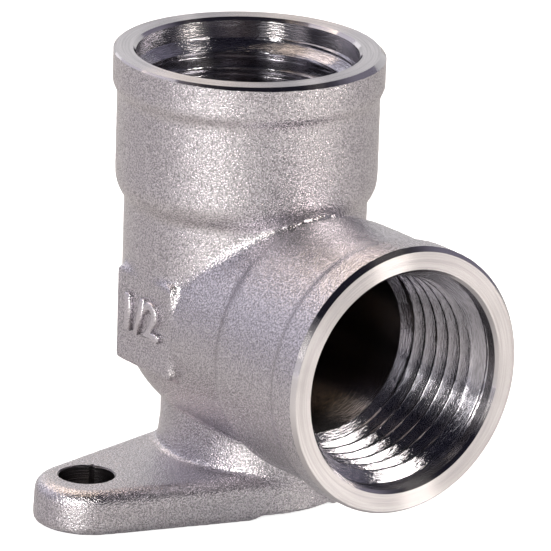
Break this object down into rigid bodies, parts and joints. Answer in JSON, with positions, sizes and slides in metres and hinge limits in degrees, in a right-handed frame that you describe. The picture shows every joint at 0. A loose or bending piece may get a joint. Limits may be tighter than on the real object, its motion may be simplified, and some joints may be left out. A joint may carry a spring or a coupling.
{
  "type": "wall plate elbow",
  "caption": "One-piece brass elbow with equal female pipe sockets at a right angle, on an oval stem and a wall plate with screw ears.",
  "frame": {"origin": "where the axis of the tap socket meets the plane of the wall, midway between the two screw holes", "axes": "+Z along the tap socket's axis, away from the wall; the pipe socket opens along -Y; the screw ears lie along X"},
  "size_m": [0.0456, 0.039, 0.0434],
  "materials": {
    "forging": "nickel plated, blasted satin outside, bright where machined"
  },
  "bodies": {
    "root": {"elbow_body": "forging"}
  },
  "joints": []
}
